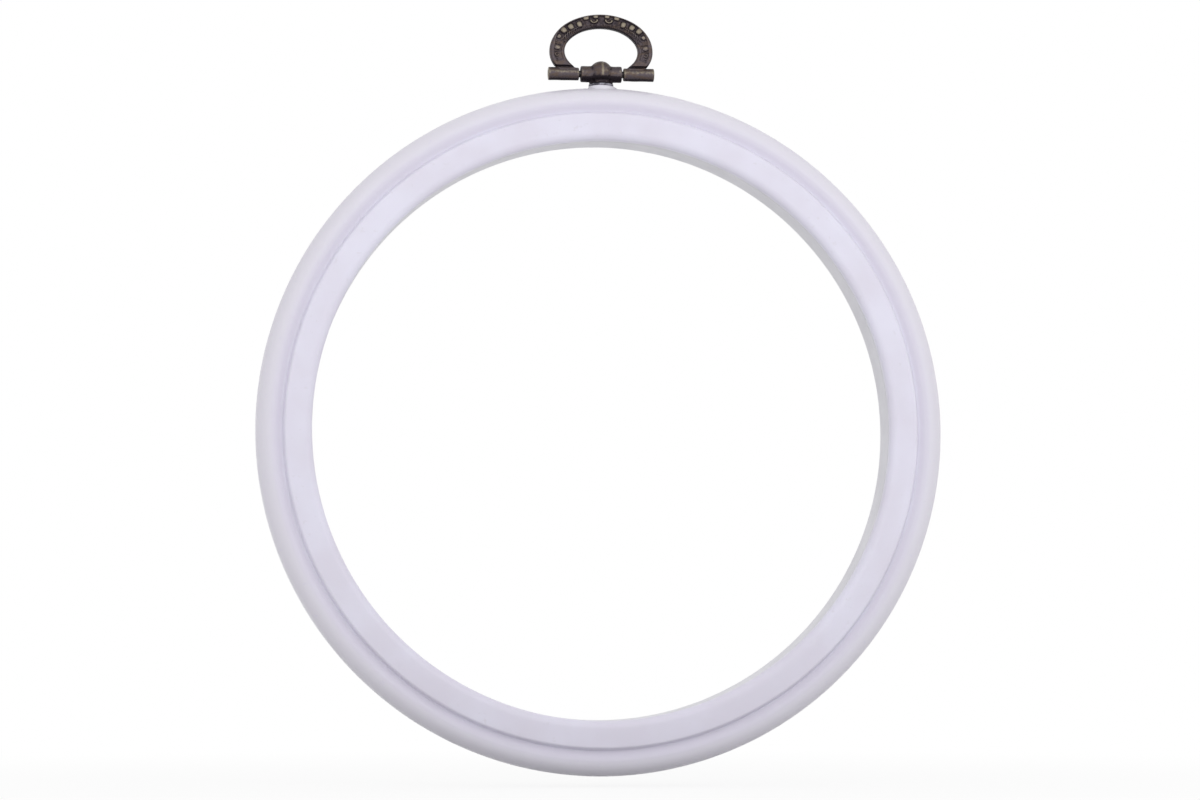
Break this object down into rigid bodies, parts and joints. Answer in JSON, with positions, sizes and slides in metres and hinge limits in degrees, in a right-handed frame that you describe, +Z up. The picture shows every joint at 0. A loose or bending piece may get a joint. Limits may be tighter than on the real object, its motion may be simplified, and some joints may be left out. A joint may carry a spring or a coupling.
{
  "type": "embroidery hoop",
  "caption": "Round two-ring embroidery hoop: a rigid flanged inner ring pressed into a soft moulded outer ring, with a cast hanging bail on a pinned knuckle.",
  "frame": {"origin": "inside top of the bail, where the hoop hangs on a nail", "axes": "+Z up, -Y out of the front face towards the viewer, +X to the viewer's right along the bail's hinge pin"},
  "size_m": [0.14, 0.0114, 0.1556],
  "materials": {
    "soft_vinyl": "soft vinyl, satin gloss, white with a faint lavender tint",
    "rigid_plastic": "hard moulded plastic, semi-gloss, white",
    "antique_brass": "dark antique patina, worn bright on the raised parts",
    "plated_steel": "plain zinc plating, slightly dull"
  },
  "bodies": {
    "bail": {"bail": "antique_brass", "hinge_pin": "plated_steel"},
    "hoop": {"outer_ring": "soft_vinyl", "fixing_screw": "plated_steel", "neck_washer": "plated_steel", "hanger_knuckle": "antique_brass"},
    "inner_ring": {"inner_ring": "rigid_plastic"}
  },
  "joints": [
    {"name": "hoop_swing", "type": "hinge", "parent": "bail", "child": "hoop", "pos_m": [0, 0, -0.00948], "axis": [1, 0, 0], "range_deg": [-125, 130]},
    {"name": "inner_ring_release", "type": "slide", "parent": "hoop", "child": "inner_ring", "axis": [0, 1, 0], "range_m": [0, 0.02]}
  ]
}
